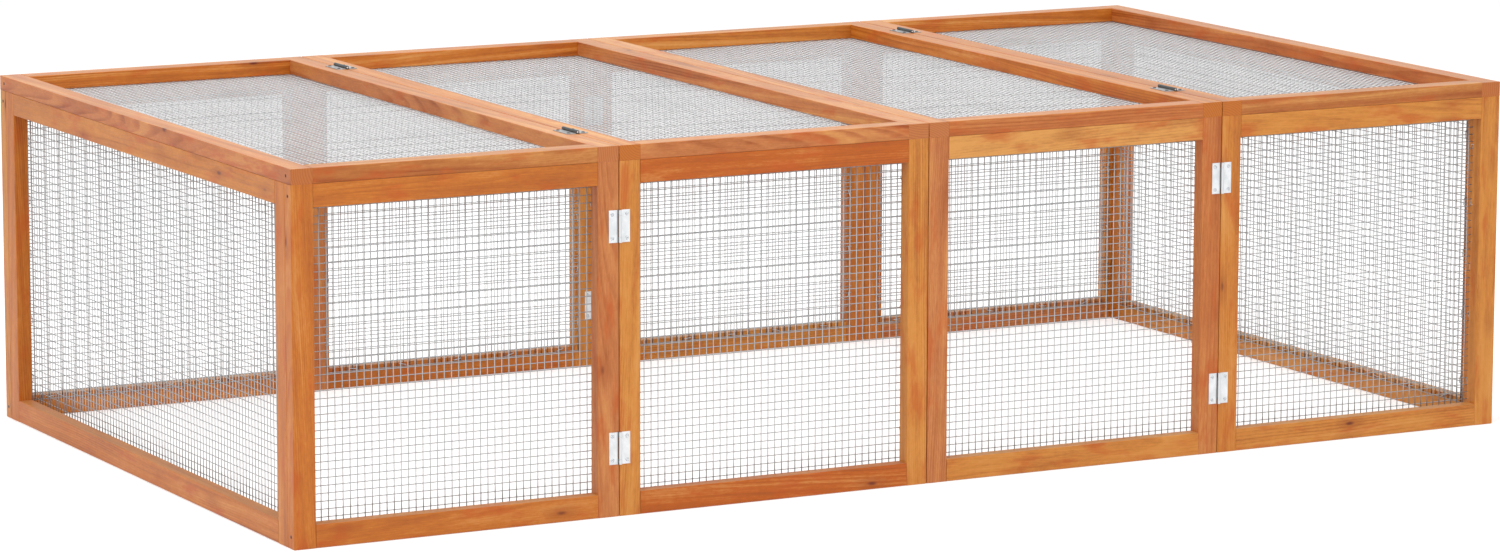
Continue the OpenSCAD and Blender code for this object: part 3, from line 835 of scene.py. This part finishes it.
def add_net(panel, material, rng):
    """Two layers of slightly wavy wires, welded where they cross."""
    origin, across, up, inward, width, height = net_frame(panel)
    verts, faces = [], []
    near = WIRE_R
    far = WIRE_R * (1 + 2 * WELD_SINK)
    layers = (up, across, height, width, near), (across, up, width, height, far)
    for run, step, length, reach, depth in layers:
        rings = max(LEAST_RINGS, round(length / WIRE_RING_EVERY) + 1)
        for place in wire_places(reach):
            lean = rng.uniform(-WIRE_WAVE, WIRE_WAVE)
            path = []
            for i in range(rings):
                t = i / (rings - 1)
                drift = lean * (2 * t - 1) + rng.gauss(0, WIRE_WAVE * 0.5)
                path.append(origin + run * (length * t) + step * (place + drift) + inward * depth)
            tube(verts, faces, path, WIRE_R)
    body = body_of_panel(panel)
    piece = add_piece(f"{panel}_wire_net", verts, faces, material, body)
    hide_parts(f"{panel}_mesh")


def staple_path(at, crown_way, leg_way):
    """A staple's wire: a leg, the crown with rounded corners, and the other leg."""
    half, bend = STAPLE_CROWN / 2, STAPLE_BEND
    lift = leg_way * -(2 * WIRE_R * (1 + WELD_SINK) + STAPLE_R)
    ends = [(-half, STAPLE_LEG), (-half, bend), (-half + bend * 0.3, bend * 0.3), (-half + bend, 0)]
    shape = ends + [(-x, z) for x, z in reversed(ends)]
    return [at + crown_way * x + leg_way * z + lift for x, z in shape]


def add_staples(panel, material, rng):
    """A row of staples along each board, over the wires that they hold."""
    origin, across, up, inward, width, height = net_frame(panel)
    verts, faces = [], []
    for way, step, length, reach in ((across, up, width, height), (up, across, height, width)):
        count = max(LEAST_STAPLES, round(length / STAPLE_EVERY))
        for edge in (STAPLE_INSET, reach - STAPLE_INSET):
            for i in range(count):
                t = (i + 0.5 + rng.uniform(-STAPLE_SLIP, STAPLE_SLIP)) / count
                tilt = rng.uniform(-STAPLE_TILT, STAPLE_TILT)
                crown = (way * math.cos(tilt) + step * math.sin(tilt)).normalized()
                at = origin + way * (length * t) + step * edge
                tube(verts, faces, staple_path(at, crown, -inward), STAPLE_R)
    add_piece(f"{panel}_staples", verts, faces, material, body_of_panel(panel))


def dress_meshes():
    """Full wire mesh and its staples on every panel."""
    rng = random.Random(WIRE_SEED)
    # Painted light and shade: one wire in copies painted lighter or darker for walls, ends, lids
    wall_tones = colour(170, 171, 172), colour(198, 199, 200), colour(60, 61, 63)
    end_tones = colour(158, 159, 160), colour(202, 203, 204), colour(40, 41, 43)
    lid_tones = colour(230, 230, 231), colour(214, 215, 216), colour(126, 127, 130)
    wall_wire = wire_metal("wall_wire", *wall_tones)
    end_wire = wire_metal("end_wire", *end_tones)
    lid_wire = wire_metal("lid_wire", *lid_tones)
    staple = fastener_metal("staple_wire", colour(168, 170, 172), colour(206, 208, 210), 0.6, 0.3)
    for panel in PANELS:
        wire = wall_wire
        if panel.startswith("lid"):
            wire = lid_wire
        elif panel.endswith("end"):
            wire = end_wire
        add_net(panel, wire, rng)
        add_staples(panel, staple, rng)


# ---- Studio ----

WHITE = (1.0, 1.0, 1.0, 1.0)
WORLD_LIGHT = 0.62
FLOOR_SIZE = 40.0
FLOOR_DROP = 0.0005
FLOOR_TONE = (0.80, 0.80, 0.80, 1.0)
FLOOR_GLOW = 0.42

# Name, place, where it aims, width in metres and power in watts of each lamp: a broad one
# overhead, and weaker ones from the left and the front
SOFTBOXES = [
    ("overhead_box", (-0.8, -0.6, 4.2), (0, 0, 0.2), 4.0, 150),
    ("left_box", (-5.0, -2.0, 2.2), (-0.4, 0, 0.2), 2.5, 25),
    ("front_box", (2.0, -5.0, 1.6), (0, 0, 0.2), 2.5, 30),
]


def background_share(n):
    """1 for rays that should see the plain white background, 0 for rays that light the object."""
    path = n.add("ShaderNodeLightPath")
    seen = n.math("MAXIMUM", path.outputs["Is Camera Ray"], path.outputs["Is Glossy Ray"])
    return n.math("MAXIMUM", seen, path.outputs["Is Transmission Ray"])


class WorldNodes(Nodes):
    """The same short way, for the world's tree."""

    def __init__(self):
        world = bpy.data.worlds.new("studio_world")
        world.use_nodes = True
        self.tree = world.node_tree
        self.tree.nodes.clear()
        self.output = self.add("ShaderNodeOutputWorld")
        bpy.context.scene.world = world


def add_world():
    """A plain white surround."""
    n = WorldNodes()
    light = n.add("ShaderNodeBackground")
    light.inputs["Color"].default_value = WHITE
    light.inputs["Strength"].default_value = WORLD_LIGHT
    seen = n.add("ShaderNodeBackground")
    seen.inputs["Color"].default_value = WHITE
    seen.inputs["Strength"].default_value = 1.0
    mix = n.add("ShaderNodeMixShader")
    n.feed(mix.inputs[0], background_share(n))
    n.feed(mix.inputs[1], light.outputs[0])
    n.feed(mix.inputs[2], seen.outputs[0])
    n.tree.links.new(mix.outputs[0], n.output.inputs["Surface"])


def add_floor():
    """A white floor that shows only the object's soft shadow."""
    n = Nodes("floor_white")
    diffuse = n.add("ShaderNodeBsdfDiffuse")
    diffuse.inputs["Color"].default_value = FLOOR_TONE
    glow = n.add("ShaderNodeEmission")
    glow.inputs["Color"].default_value = WHITE
    n.feed(glow.inputs["Strength"], n.math("MULTIPLY", background_share(n), FLOOR_GLOW))
    both = n.add("ShaderNodeAddShader")
    n.feed(both.inputs[0], diffuse.outputs[0])
    n.feed(both.inputs[1], glow.outputs[0])
    n.tree.links.new(both.outputs[0], n.output.inputs["Surface"])
    half = FLOOR_SIZE / 2
    mesh = bpy.data.meshes.new("floor")
    corners = [(-half, -half, 0), (half, -half, 0), (half, half, 0), (-half, half, 0)]
    mesh.from_pydata(corners, [], [(0, 1, 2, 3)])
    mesh.materials.append(n.material)
    floor = bpy.data.objects.new("floor", mesh)
    floor.location.z = -FLOOR_DROP
    bpy.context.scene.collection.objects.link(floor)


def add_softbox(name, at, aim, size, power):
    """A square area lamp at a place, aimed at another."""
    data = bpy.data.lights.new(name, "AREA")
    data.size = size
    data.energy = power
    lamp = bpy.data.objects.new(name, data)
    look = (Vector(aim) - Vector(at)).to_track_quat("-Z", "Y")
    lamp.matrix_world = Matrix.Translation(at) @ look.to_matrix().to_4x4()
    bpy.context.scene.collection.objects.link(lamp)


add_camera()
dress_boards()
dress_fittings()
dress_fixings()
dress_meshes()
add_world()
add_floor()
for softbox in SOFTBOXES:
    add_softbox(*softbox)
bpy.context.scene.view_settings.view_transform = "Standard"
